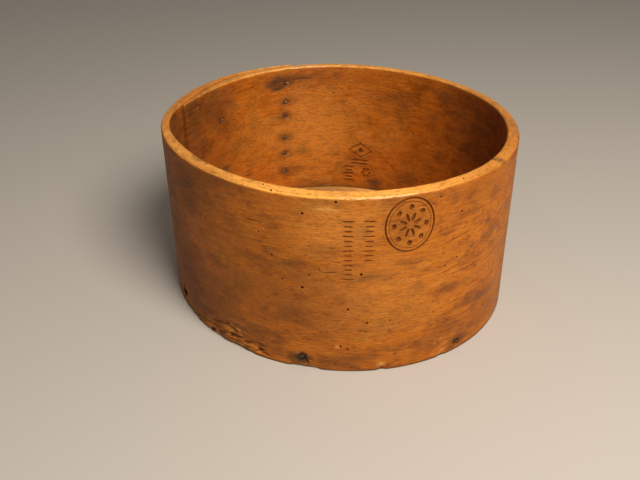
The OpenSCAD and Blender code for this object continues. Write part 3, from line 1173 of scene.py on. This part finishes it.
@dataclass
class Hoop:
    """The bent strip with its worn edges and walls, its broken foot and all that is cut into it."""

    shape: StripShape
    marks: WearAndPaintedLight = field(default_factory=WearAndPaintedLight)
    stamps: StampedMarks = field(default_factory=StampedMarks)
    holes: SmallHoles = field(default_factory=SmallHoles)
    hollows: Hollows = field(default_factory=Hollows)

    # Angle from one station of the mesh to the next.
    station_step: float = 0.75
    # Points of its cross-section up three zones of the outside, down the inside, across and round an edge.
    up_points: tuple[int, int, int] = (20, 52, 9)
    down_points: int = 48
    across_points: int = 7
    round_points: int = 5
    # Heights at which the lowest zone ends and the top one starts.
    foot_zone: float = 14.0
    top_zone: float = 90.0
    # Rounding of the edges, and the most of the strip's thickness that it may take.
    rim_round: float = 1.3
    foot_round: float = 0.4
    round_most: float = 0.4
    sharp_angle: float = 38.0
    # How far the walls have worn: evenly, in broad waves and in ripples, but not where they lie in the lap.
    wall_loss: float = 0.3
    wall_parts: Triple = (0.5, 0.3, 0.18)
    ripple_shift: float = 40.0
    lap_fade: float = 12.0
    # How far the rim has worn down, what its dents add to that and the most of both, how much more it has
    # worn on the outside, and how far below it that reaches.
    rim_loss: float = 0.45
    rim_dents: float = 0.25
    rim_most: float = 1.2
    rim_slope: float = 0.5
    rim_reach: float = 3.0
    # Scooping has worn the wall thin inside on one side, from a height upwards.
    scoop_angle: float = 75.0
    scoop_reach: float = 60.0
    scoop_depth: float = 1.1
    scoop_from: float = 12.0
    scoop_rise: float = 50.0
    # Handling has rounded the rim most in front, by this much more of its rounding.
    handled_angle: float = -38.0
    handled_reach: float = 36.0
    handled_round: float = 0.35
    # Shares of thickness and height that a small ring within the inner end keeps, which lets the painted
    # shade on the end face show.
    end_ring: Pair = (0.6, 0.93)

    # How far the edges of a chip stray, along and up, how steep they are, and how far up it lifts the foot.
    chip_stray: Pair = (0.25, 0.35)
    chip_steep: Pair = (1.6, 1.5)
    lift_reach: float = 8.0
    chips: tuple[Chip, ...] = (
        Chip(angle=-102.5, long=8, high=4, deep=0.8, lift=0.0),
        Chip(angle=-84, long=14, high=4, deep=0.6, lift=0.2),
        Chip(angle=-70, long=12, high=4, deep=0.6, lift=0.0),
        Chip(angle=-49.5, long=20, high=2.6, deep=0.7, lift=0.7),
        Chip(angle=-27.5, long=6, high=4, deep=0.6, lift=0.2),
        Chip(angle=-8, long=6, high=7, deep=0.4, lift=0.0),
        Chip(angle=62, long=12, high=4, deep=0.8, lift=0.4),
        Chip(angle=118, long=18, high=5, deep=0.9, lift=0.3),
        Chip(angle=214, long=14, high=6, deep=0.8, lift=0.4),
    )
    # Flakes have come off the foot between two angles, highest up at a third.
    flakes_from: float = -106.0
    flakes_to: float = -58.0
    flakes_high: float = 9.0
    flakes_peak: float = 23.0
    flakes_peak_at: float = -76.5
    flakes_peak_long: float = 16.0
    flakes_deep: float = 1.2
    # Lengths over which the flakes begin and end, and how steeply they thin out upwards.
    flakes_fade: Pair = (8.0, 14.0)
    flakes_steep: float = 1.6
    # Shares of the flakes' own unevenness, of the ragged edge and of nearness, and the level that comes off.
    flakes_parts: Triple = (0.7, 0.5, 0.8)
    flakes_level: float = 0.5
    flakes_crisp: float = 4.0

    OUTER_WAVES: ClassVar[Unevenness] = Unevenness(seed=3, along=34.0, across=26.0)
    INNER_WAVES: ClassVar[Unevenness] = Unevenness(seed=5, along=40.0, across=30.0)
    RIPPLES: ClassVar[Unevenness] = Unevenness(seed=7, along=90.0, across=3.2)
    RIM_SAGS: ClassVar[Unevenness] = Unevenness(seed=9, along=26.0, across=60.0)
    RIM_DENTS: ClassVar[Unevenness] = Unevenness(seed=13, along=4.0, across=3.0)
    RIM_FLECKS: ClassVar[Unevenness] = Unevenness(seed=43, along=5.0, across=2.0)
    RIM_SPECKS: ClassVar[Unevenness] = Unevenness(seed=47, along=2.4, across=1.4)
    RAGGED_EDGE: ClassVar[Unevenness] = Unevenness(seed=11, along=5.0, across=1.4)
    FLAKES: ClassVar[Unevenness] = Unevenness(seed=23, along=7.0, across=1.6)
    TUFTS: ClassVar[Unevenness] = Unevenness(seed=31, along=3.4, across=1.2)
    PATCH_EDGE: ClassVar[Unevenness] = Unevenness(seed=37, along=9.0, across=3.0)
    PATCH_GRAIN: ClassVar[Unevenness] = Unevenness(seed=39, along=3.5, across=1.4)

    def profile(self) -> Array:
        """Draws the outline of the cross-section, up the outside, over the rim and down the inside.

        Returns:
            Four rows: the share of the way through the wall, the inset from there, the height, and the drop
            or rise of a rounded edge.
        """
        top, rim, foot = self.shape.height, self.rim_round, self.foot_round
        quarter = np.radians(np.linspace(0, 90, self.round_points))
        curl, rise = 1 - np.cos(quarter), 1 - np.sin(quarter)
        # Points lie closer together at the foot, where the breaks are, and at the rim.
        levels = (foot, self.foot_zone, self.top_zone, top - rim)
        stretches = zip(levels, levels[1:], self.up_points)
        up = np.concatenate([np.linspace(low, high, points)[1:] for low, high, points in stretches])[:-1]
        down = np.linspace(top - rim, foot, self.down_points)[1:-1]
        across = np.linspace(0, 1, self.across_points)[1:-1]
        runs = (
            (0.0, 0.0, up, 0.0), (0.0, curl * rim, top, -rise * rim), (across, 0.0, top, 0.0),
            (1.0, -curl[::-1] * rim, top, -rise[::-1] * rim), (1.0, 0.0, down, 0.0),
            (1.0, -curl * foot, 0.0, rise * foot), (across[::-1], 0.0, 0.0, 0.0),
            (0.0, curl[::-1] * foot, 0.0, rise[::-1] * foot))
        return np.concatenate([np.stack(np.broadcast_arrays(*run)) for run in runs], axis=1)

    def breakage(self, x: Array, z: Array) -> tuple[Array, Array]:
        """How far the outer face has broken back at the foot.

        Args:
            x: distance along the strip.
            z: height.
        Returns:
            Depth lost, and how far the foot's edge is lifted.
        """
        ragged = self.RAGGED_EDGE(x, z)
        lost, lifted = np.zeros_like(x), np.zeros_like(x)
        stray_along, stray_up = self.chip_stray
        steep_along, steep_up = self.chip_steep
        for chip in self.chips:
            near = 1 - np.abs(x - self.shape.along(chip.angle, Face.OUTER)) / (chip.long / 2)
            below = 1 - z / (chip.high * (1 + stray_up * ragged))
            bite = ease(steep_along * (near + stray_along * ragged)) * ease(steep_up * below)
            lost = np.maximum(lost, chip.deep * bite)
            lifted = np.maximum(lifted, chip.lift * bite)
        first, last, peak_at = (self.shape.along(angle, Face.OUTER)
                                for angle in (self.flakes_from, self.flakes_to, self.flakes_peak_at))
        peak = np.exp(-(((x - peak_at) / self.flakes_peak_long) ** 2))
        high = self.flakes_high + (self.flakes_peak - self.flakes_high) * peak
        begins, ends = self.flakes_fade
        thinning = ease(self.flakes_steep * (1 - z / high))
        zone = ease((x - first) / begins) * ease((last - x) / ends) * thinning
        own, edge, near = self.flakes_parts
        loose = own * self.FLAKES(x, z) + edge * ragged + near * zone - self.flakes_level
        return np.maximum(lost, self.flakes_deep * ease(loose * self.flakes_crisp) * zone), lifted

    def rim_drop(self, x: Array, through: Array) -> Array:
        """Finds how far the rim has worn down.

        Args:
            x: distance along the strip.
            through: share of the way through it.
        Returns:
            Drop of each place.
        """
        dents = self.rim_dents * self.RIM_DENTS(x, self.shape.wall * through)
        sag = np.clip(self.RIM_SAGS.raised(x, 0 * x) + dents, 0, self.rim_most)
        return self.rim_loss * sag + self.rim_slope * (1 - np.clip(through, 0, 1))

    def nearness(self, travel: Array, angle: float, face: Face, reach: float) -> Array:
        """How near stations are to a direction, from 0 at its reach to 1."""
        return ease(1 - np.abs(travel - self.shape.travel_at(angle, face)) / reach)

    def wall_wear(self, travel: Array, x: Array, z: Array) -> tuple[Array, Array]:
        """How far the faces have worn.

        Args:
            travel: travel of each station.
            x: distance along the strip.
            z: height.
        Returns:
            Depth lost from the outer face, and from the inner.
        """
        even, broad, fine = self.wall_parts
        rippled = (self.RIPPLES(x, z), self.RIPPLES(x, z + self.ripple_shift))
        wear_out, wear_in = (self.wall_loss * (even + broad * waves(x, z) + fine * ripple)
                             for waves, ripple in zip((self.OUTER_WAVES, self.INNER_WAVES), rippled))
        # Faces that lie against each other in the lap haven't worn.
        wear_out = wear_out * ease((360 - travel) / self.lap_fade)
        wear_in = wear_in * ease((travel - self.shape.lap_span) / self.lap_fade)
        scooped = self.nearness(travel, self.scoop_angle, Face.INNER, self.scoop_reach)
        return wear_out, wear_in + self.scoop_depth * scooped * ease((z - self.scoop_from) / self.scoop_rise)

    def raw_mesh(self) -> bpy.types.Object:
        """Makes the strip with its wear and broken edges, before anything is cut into it.

        Returns:
            The object.
        """
        shape = self.shape
        # The last station comes twice, for the small ring within the inner end.
        stations = np.linspace(0, shape.end, int(shape.end / self.station_step) + 1)
        travel = np.append(stations, shape.end)[:, None]
        share, inset, height, drop = self.profile()[:, None, :]
        skin, back = shape.outer_depth(travel), shape.inner_depth(travel)
        handled = self.nearness(travel, self.handled_angle, Face.OUTER, self.handled_reach)
        most = self.round_most * (back - skin) / self.rim_round
        rounding = np.minimum(1 + self.handled_round * handled, most)
        depth = skin * (1 - share) + back * share + inset * rounding
        z = height + drop * rounding
        x = np.broadcast_to(travel * shape.mm_per_degree, depth.shape)
        worn_out, worn_in = self.wall_wear(travel, x, z)
        lost, lifted = self.breakage(x, z)
        depth = depth + (worn_out + lost) * (1 - share) - worn_in * share
        near_top = ease((z - shape.height + self.rim_reach) / self.rim_reach)
        lifting = lifted * (1 - share) * ease(1 - z / self.lift_reach)
        z = z - self.rim_drop(x, share) * near_top + lifting
        for values, kept in zip((depth, z), self.end_ring):
            middle = (values[-1].max() + values[-1].min()) / 2
            values[-1] = middle + (values[-1] - middle) * kept
        angle = shape.lap_angle + travel
        radius, turn = shape.oval(angle) - depth, np.radians(angle)
        grid = np.stack((radius * np.cos(turn), radius * np.sin(turn), z), axis=2)
        return finish_mesh("bent_hoop", grid.reshape(-1, 3), ring_faces(*grid.shape[:2], mirrored=True))

    def painted(self, x: Array, z: Array, inside: Array, outer: Sequence[SoftPatch] = (),
                inner: Sequence[SoftPatch] = ()) -> Array:
        """Strength of soft patches, of which the strongest counts.

        Args:
            x: distance along the strip.
            z: height.
            inside: 0 on the outer face to 1 on the inner.
            outer: patches on the outer face.
            inner: patches on the inner face.
        Returns:
            Values of the shape of x.
        """
        strength = np.zeros_like(x)
        broad, fine = self.marks.stray
        ragged = 1 + broad * self.PATCH_EDGE(x, z) + fine * self.PATCH_GRAIN(x, z)
        for face, side, patches in ((Face.OUTER, 1 - inside, outer), (Face.INNER, inside, inner)):
            for patch in patches:
                far = (x - self.shape.along(patch.angle, face)) / patch.long * 2
                off = (z - patch.z) / patch.high * 2
                reach = np.hypot(far, off) * ragged
                faded = np.exp(-self.marks.fade * reach**patch.edge)
                strength = np.maximum(strength, patch.strength * faded * side)
        return strength

    def mark_wear(self, mesh: bpy.types.Mesh, nails: Sequence["WroughtNail"]) -> None:
        """Writes stains, rubbing, splinters, the inside, and painted shade and highlight, for the finish to
        read.

        Args:
            mesh: the finished hoop mesh.
            nails: all the nails, which leave iron stains.
        """
        shape, marks = self.shape, self.marks
        points = mesh_points(mesh)
        travel, depth, through = shape.unroll(points)
        x, z = travel * shape.mm_per_degree, points[:, 2]
        begins, takes = marks.inner_look
        single = ease((through - begins) / takes)
        inside = np.where(travel > 360, 1.0, np.where(travel < shape.lap_span, 0.0, single))
        here = (x, z, inside)

        # Broken wood shows pale tufts, with darker gaps between them: dirt, and painted shade in the
        # crevices.
        broken = np.clip(self.breakage(x, z)[0] / marks.bare_depth, 0, 1) * (1 - inside)
        tuft = self.TUFTS(x, z)
        scars = self.painted(*here, outer=marks.outer_scars)
        raw = np.maximum(broken * toned(tuft, *marks.tuft_tone), scars)
        dirty_shaded_gaps = broken * toned(tuft, *marks.gap_dirt_and_shade_tone)

        # The rim is rubbed pale, with flecks of dirt, farthest down its outer edge where it is polished
        # most: at the front this pale edge is a painted highlight.
        polish = marks.polish(shape.lap_angle + travel)
        highlight_edge = marks.highlight_spread * np.clip(polish - marks.rub_level, 0, 1) * (1 - inside)
        edge = marks.rub_reach + marks.rub_inside * inside + highlight_edge
        below = shape.height - self.rim_drop(x, through) - z
        rubbed = ease(marks.rub_start - below / edge)
        across = shape.wall * through
        fleck = self.RIM_FLECKS(x, across) + marks.speck_share * self.RIM_SPECKS(x, across)
        worn_and_highlight = np.clip(rubbed * polish * (1 + marks.fleck_polish * fleck), 0, 1)
        worn_and_highlight = np.maximum(worn_and_highlight, self.painted(*here, outer=marks.outer_rubs, inner=marks.inner_rubs))
        flecks = rubbed * toned(fleck, *marks.fleck_tone) * (1 - marks.fleck_clean * polish)

        # Darkening lies along the foot as dirt and a painted contact shadow, in the corner above the board
        # as painted shade, and in stains that stop at the rubbed rim, some of which are painted shade.
        foot_high, foot_strength = marks.foot_dirt_and_shadow
        foot = ease(1 - z / foot_high) * foot_strength
        corner_high, corner_strength = marks.corner_shade
        above_board = ease(1 - (z - marks.corner_z) / corner_high) * (z > marks.corner_from)
        corner = above_board * inside * corner_strength
        outer_halos, inner_halos = marks.halos(nails)
        stains_and_shade = self.painted(*here, outer=(*marks.outer_stains_and_shade, *outer_halos),
                              inner=(*marks.inner_stains_and_shade, *inner_halos))
        knocks = self.painted(*here, outer=marks.outer_rim_marks, inner=marks.inner_rim_marks)
        faint = stains_and_shade * (1 - marks.stain_clean * rubbed)
        dirt_and_shade = np.maximum.reduce((faint, dirty_shaded_gaps, foot, corner, flecks, knocks))

        clean = self.painted(*here, outer=marks.outer_clean)
        # The darkening written here is dirt with painted shade and a painted contact shadow in it; the
        # paleness has a painted highlight in it.
        for name, values in (("strip_mm", np.stack((x, depth, z), axis=1)), ("dirt_and_shade", dirt_and_shade), ("worn_and_highlight", worn_and_highlight),
                             ("raw", raw), ("clean", clean), ("inside", inside * (1 - rubbed))):
            paint(mesh, name, values)

    def build(self, nails: Sequence["WroughtNail"]) -> bpy.types.Object:
        """Makes and dresses the hoop.

        Args:
            nails: all the nails, for the hollows and iron stains round them.
        Returns:
            The finished piece.
        """
        piece = self.raw_mesh()
        wood = HOOP_WOOD.build()
        piece.data.materials.append(wood)
        hollows, stamps, holes = (PitCutter(self.shape) for _ in range(3))
        self.hollows.add_to(hollows, nails)
        hollows.cut(piece, wood)
        self.stamps.add_to(stamps)
        stamps.cut(piece, STAMP_DIRT.build())
        self.holes.add_to(holes)
        holes.cut(piece, HOLE_DIRT.build())
        piece.data.shade_smooth()
        piece.data.set_sharp_from_angle(angle=math.radians(self.sharp_angle))
        self.mark_wear(piece.data, nails)
        dress(piece, "hoop")
        return piece


@dataclass
class FootBoard:
    """The board in the foot, a little cupped, with its grain along X."""

    shape: StripShape
    gap: float = 0.15
    edge_round: float = 0.5
    sharp_angle: float = 50.0
    sectors: int = 240
    rings: int = 44
    round_points: int = 4
    # Share of the radius at the innermost and the outermost ring of its flat sides.
    flat: Pair = (0.02, 0.985)
    # How far its sides cup, and how deep its growth lines have worn.
    cup: float = 0.35
    ridge: float = 0.16
    # Shift that brings the whole board into the range of the unevenness.
    shift: Pair = (120.0, 60.0)
    # Width and strength of the dirt round its edge, and strength of old spills.
    rim_dirt: float = 1.6
    rim_dirt_strength: float = 0.6
    spill_strength: float = 0.3
    spill_level: float = 0.2
    spill_crisp: float = 2.0

    RIDGES: ClassVar[Unevenness] = Unevenness(seed=17, along=110.0, across=2.6)
    WARP: ClassVar[Unevenness] = Unevenness(seed=19, along=120.0, across=70.0)
    SPILLS: ClassVar[Unevenness] = Unevenness(seed=29, along=38.0, across=30.0)

    def edge(self, angle: Array) -> Array:
        """Radius of the inside of the hoop in each direction."""
        return np.array([self.shape.surface(a, Face.INNER) for a in angle])

    def loops(self, low: float, high: float) -> list[tuple[float, float, float, float]]:
        """Rings of the board, from the middle of its top over the edge to the middle of its underside.

        Args:
            low: height of its underside.
            high: height of its top.
        Returns:
            For each ring, its share of the radius, its inset, its rise and the level of its side.
        """
        quarter = np.radians(np.linspace(0, 90, self.round_points))
        curl, rise = (1 - np.cos(quarter)) * self.edge_round, (1 - np.sin(quarter)) * self.edge_round
        top = [(share, 0.0, 0.0, high) for share in np.linspace(*self.flat, self.rings)]
        upper = [(1.0, inset, -drop, high) for inset, drop in zip(curl[::-1], rise[::-1])]
        lower = [(1.0, inset, drop, low) for inset, drop in zip(curl, rise)]
        under = [(share, 0.0, 0.0, low) for share in np.linspace(*self.flat[::-1], self.rings // 2)]
        return top + upper + lower + under

    def build(self) -> bpy.types.Object:
        """Makes and dresses the board.

        Returns:
            The finished piece.
        """
        low, high = (corner[2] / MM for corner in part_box("base_board"))
        angle = np.linspace(0, 360, self.sectors, endpoint=False)
        edge = self.edge(angle)
        edge = np.minimum(np.minimum(edge, np.roll(edge, 1)), np.roll(edge, -1)) - self.gap
        a = np.radians(angle)
        rows = []
        for share, inset, rise, level in self.loops(low, high):
            radius = share * edge - inset
            x, y = radius * np.cos(a), radius * np.sin(a)
            place = (x + self.shift[0], y + self.shift[1])
            dent = self.cup * self.WARP.raised(*place) + self.ridge * self.RIDGES.raised(*place)
            inwards = -1 if level == high else 1
            rows.append(np.stack((x, y, level + rise + inwards * dent * (inset == 0.0)), axis=1))
        faces = ring_faces(len(rows), self.sectors, mirrored=True)
        piece = finish_mesh("foot_board", np.concatenate(rows), faces)
        piece.data.materials.append(BOARD_WOOD.build())
        piece.data.set_sharp_from_angle(angle=math.radians(self.sharp_angle))
        self.mark_wear(piece.data)
        dress(piece, "base_board")
        return piece

    def mark_wear(self, mesh: bpy.types.Mesh) -> None:
        """Writes the dirt that gathers round the board's edge and in old spills.

        Args:
            mesh: the board's mesh.
        """
        x, y, _ = mesh_points(mesh).T
        inset = self.edge(np.degrees(np.arctan2(y, x))) - np.hypot(x, y)
        spill = self.SPILLS(x + self.shift[0], y + self.shift[1]) - self.spill_level
        around = self.rim_dirt_strength * ease(1 - inset / self.rim_dirt)
        paint(mesh, "dirt_and_shade", np.maximum(around, self.spill_strength * ease(spill * self.spill_crisp)))


@dataclass
class WroughtNail:
    """One hand-made nail: a hammered head, a shank and, where it comes through, a point bent over."""

    node: str
    number: int
    shape: StripShape
    iron: bpy.types.Material
    # Size of the hollow and the stain round the head, as a share of the usual one.
    hollow: float = 1.0
    sides: int = 14
    sharp_angle: float = 60.0
    head: float = 4.6
    head_end: float = 1.2
    shank: float = 2.2
    # Length of a straight point and share of the shank at its tip, and length of a bent one and its height.
    point: float = 7.0
    tip_share: float = 0.25
    clench: float = 2.6
    proud: float = 0.25
    # Radius of the head's topmost ring, and how much narrower and higher than its foot its widest part ends.
    crown_top: float = 0.05
    head_taper: float = 0.96
    head_edge: float = 0.1
    # How far hammering has spread the head's edge and dinted its top.
    spread: float = 0.04
    dint: float = 0.05
    # How far the bend swings back and in as shares of the shank, and how far it leans in.
    bend_back: float = 0.4
    bend_in: float = 0.2
    bend_lean: float = 0.1
    # How far in the bent point ends, and how thick it is for its width.
    point_in: float = 0.15
    point_flat: float = 0.75

    SEED: ClassVar[int] = 200
    # How far the head's edge is dented, and how deep it sits, in the lap and at the foot.
    LAP_HEAD: ClassVar[Pair] = (0.10, 0.1)
    FOOT_HEAD: ClassVar[Pair] = (0.28, 0.6)
    # Share of the head's half width and depth below its top, ring by ring.
    CROWN: ClassVar[tuple[Pair, ...]] = ((0.5, 0.03), (0.84, 0.2), (1.0, 0.45))
    BEND_STEPS: ClassVar[tuple[int, ...]] = (30, 60, 90)
    # Share of the bent point's length and of the shank's width, ring by ring.
    DRAWN_OUT: ClassVar[tuple[Pair, ...]] = ((0.45, 0.95), (0.8, 0.75), (1.0, 0.35))
    # Depth of the ring of corners that counts as the CAD head's top.
    TOP_DEPTH: ClassVar[float] = 0.2

    def __post_init__(self) -> None:
        """Finds the nail's direction and depth from its CAD node."""
        corners = np.array([v.co[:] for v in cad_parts[self.node].data.vertices]) / MM
        radius = np.hypot(corners[:, 0], corners[:, 1])
        head = corners[radius > radius.max() - self.TOP_DEPTH].mean(axis=0)
        self.angle = math.degrees(math.atan2(head[1], head[0]))
        self.z = float(head[2])
        self.outermost = float(radius.max())
        self.innermost = float(radius.min())

    @property
    def clenched(self) -> bool:
        """Whether the point comes out on the inside."""
        return not self.node.startswith("base")

    def rings(self) -> Array:
        """Draws the nail inwards along Z.

        Returns:
            Positions by ring, from the top of the head to the point, and by side.
        """
        turns = np.linspace(0, FULL_TURN, self.sides, endpoint=False)
        draw = np.random.default_rng(self.SEED + self.number)
        # Heads at the foot are hammered more ragged, and sit lower.
        dented, low = self.LAP_HEAD if self.clenched else self.FOOT_HEAD
        dents = 1 + draw.uniform(-dented, self.spread, self.sides)
        wide, half = self.head / 2, self.shank / 2
        reach = self.outermost - self.innermost
        bend = self.outermost - self.shape.surface(self.angle, Face.INNER) + self.proud - half
        stop = bend if self.clenched else reach - self.point
        crown = [(wide * share, low + drop) for share, drop in self.CROWN]
        outline = [(self.crown_top, low), *crown, (wide * self.head_taper, self.head_end - self.head_edge),
                   (half, self.head_end), (half, stop)]
        if not self.clenched:
            outline.append((half * self.tip_share, reach))
        rings = []
        for ring, (radius, depth) in enumerate(outline):
            hammered = radius * (dents if 1 <= ring <= len(crown) + 1 else 1)
            dint = draw.uniform(-self.dint, self.dint, self.sides) if ring in (1, 2) else 0
            level = depth + dint + 0 * turns
            rings.append(np.stack((hammered * np.cos(turns), hammered * np.sin(turns), level), axis=1))
        if self.clenched:
            rings += self.bent_point(turns, stop, half)
        return np.array(rings)

    def bent_point(self, turns: Array, stop: float, half: float) -> list[Array]:
        """Rings that turn the shank over and draw it out flat along the wood.

        Args:
            turns: angle of each side of a ring.
            stop: depth at which the bend starts.
            half: half the shank's width.
        Returns:
            Rings of points.
        """
        rings = []
        cos, sin = np.cos(turns)[:, None], np.sin(turns)[:, None]
        for step in self.BEND_STEPS:
            t = math.radians(step)
            lean = np.array((0.0, -math.sin(t), math.cos(t)))
            back, deep = half * self.bend_back * (1 - math.cos(t)), half * self.bend_in * math.sin(t)
            middle = np.array((0.0, -back, stop + deep))
            across = np.array((0.0, math.cos(t), math.sin(t)))
            ring = cos * np.array((1.0, 0.0, 0.0)) + sin * across
            rings.append(middle + lean * self.bend_lean + half * ring)
        for share, width in self.DRAWN_OUT:
            back = half * self.bend_back + self.clench * share
            middle = np.array((0.0, -back, stop + self.point_in * share))
            rings.append(middle + half * width * np.hstack((cos, 0 * cos, self.point_flat * sin)))
        return rings

    def build(self) -> bpy.types.Object:
        """Makes the nail, turns it into place and dresses it.

        Returns:
            The finished piece.
        """
        a = math.radians(self.angle)
        up = np.array((0.0, 0.0, 1.0))
        along = np.array((-math.sin(a), math.cos(a), 0.0))
        inwards = np.array((-math.cos(a), -math.sin(a), 0.0))
        rings = self.rings()
        axes = np.array((up, along, inwards))
        placed = self.z * up - self.outermost * inwards + rings.reshape(-1, 3) @ axes
        piece = finish_mesh(f"{self.node}_wrought", placed, ring_faces(*rings.shape[:2]))
        piece.data.materials.append(self.iron)
        piece.data.set_sharp_from_angle(angle=math.radians(self.sharp_angle))
        dress(piece, self.node)
        return piece


@dataclass
class Studio:
    """Plain pale floor, one soft lamp and the camera, which stands where the photograph was taken from."""

    # Turn about Z from the photograph's side, from where the camera and the lamp are placed, to the part.
    azimuth: float = 48.67
    camera_at: Triple = (5.2, -398.2, 253.3)
    camera_roll: float = -0.62
    look: Triple = (-0.0341, 0.8624, -0.505)
    lens: float = 42.46
    sensor: float = 36.0
    nearest: float = 10.0
    # Half the floor's width is its reach.
    floor_colour: str = "#C2B5A4"
    floor_roughness: float = 0.9
    floor_reach: float = 6000.0
    # The lamp's direction, distance and width, its power, the place that it lights, and the sky's strength.
    key_azimuth: float = -61.0
    key_elevation: float = 50.0
    key_away: float = 900.0
    key_size: float = 420.0
    key_watts: float = 8.6
    key_aim: Triple = (0.0, 0.0, 50.0)
    sky: float = 0.19

    def turned(self, x: float, y: float, z: float) -> Vector:
        """Turns a direction or place seen from the camera's side into the part's frame."""
        return Matrix.Rotation(math.radians(self.azimuth), 3, "Z") @ Vector((x, y, z))

    def build(self) -> None:
        """Makes the floor, the light and the camera."""
        bpy.context.scene.view_settings.view_transform = "Standard"
        self.lay_floor()
        self.light()
        self.set_camera()

    def lay_floor(self) -> None:
        """Lays the floor."""
        reach = self.floor_reach
        corners = [(-reach, -reach, 0), (reach, -reach, 0), (reach, reach, 0), (-reach, reach, 0)]
        floor = finish_mesh("floor", np.array(corners), [(0, 1, 2, 3)])
        # Paper, calendered matt: an even pale ground that shows the shadow and no reflection.
        paper, tree, shader = new_material("matt_paper")
        matt = {"Base Color": linear(self.floor_colour), "Roughness": self.floor_roughness}
        set_inputs(tree, shader, matt)
        floor.data.materials.append(paper)

    def light(self) -> None:
        """Lights the scene with an even sky and one soft lamp."""
        scene = bpy.context.scene
        scene.world = bpy.data.worlds.new("soft_sky")
        scene.world.use_nodes = True
        tree = scene.world.node_tree
        set_inputs(tree, tree.nodes["Background"], {"Color": (1, 1, 1, 1), "Strength": self.sky})
        lamp = bpy.data.lights.new("key_softbox", "AREA")
        lamp.shape = "DISK"
        lamp.size = self.key_size * MM
        lamp.energy = self.key_watts
        key = bpy.data.objects.new("key_softbox", lamp)
        turn, lift = math.radians(self.key_azimuth), math.radians(self.key_elevation)
        level = math.cos(lift)
        towards = self.turned(level * math.cos(turn), level * math.sin(turn), math.sin(lift))
        key.location = towards * self.key_away * MM
        key.rotation_euler = (Vector(self.key_aim) * MM - key.location).to_track_quat("-Z", "Y").to_euler()
        scene.collection.objects.link(key)

    def set_camera(self) -> None:
        """Sets up the camera."""
        scene = bpy.context.scene
        view = bpy.data.cameras.new("camera")
        view.sensor_width = self.sensor
        view.lens = self.lens
        view.clip_start = self.nearest * MM
        camera = bpy.data.objects.new("camera", view)
        camera.location = self.turned(*self.camera_at) * MM
        roll = Quaternion((0, 0, 1), math.radians(self.camera_roll))
        camera.rotation_euler = (self.turned(*self.look).to_track_quat("-Z", "Y") @ roll).to_euler()
        scene.collection.objects.link(camera)
        scene.camera = camera


# Nails whose heads have bitten less into the wood than the others.
SMALL_HOLLOWS = {"base_nail_1": 0.68}


def main() -> None:
    """Builds the studio and then the measure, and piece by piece."""
    logging.basicConfig(level=logging.INFO, format="%(message)s")
    Studio().build()
    shape = StripShape()
    head_iron, point_iron = HEAD_IRON.build(), POINT_IRON.build()
    names = sorted(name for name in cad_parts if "_nail_" in name)
    nails = [WroughtNail(name, i, shape, head_iron if name.startswith("base") else point_iron,
                         SMALL_HOLLOWS.get(name, 1.0)) for i, name in enumerate(names)]
    Hoop(shape).build(nails)
    FootBoard(shape).build()
    for nail in nails:
        nail.build()


if __name__ == "__main__":
    main()
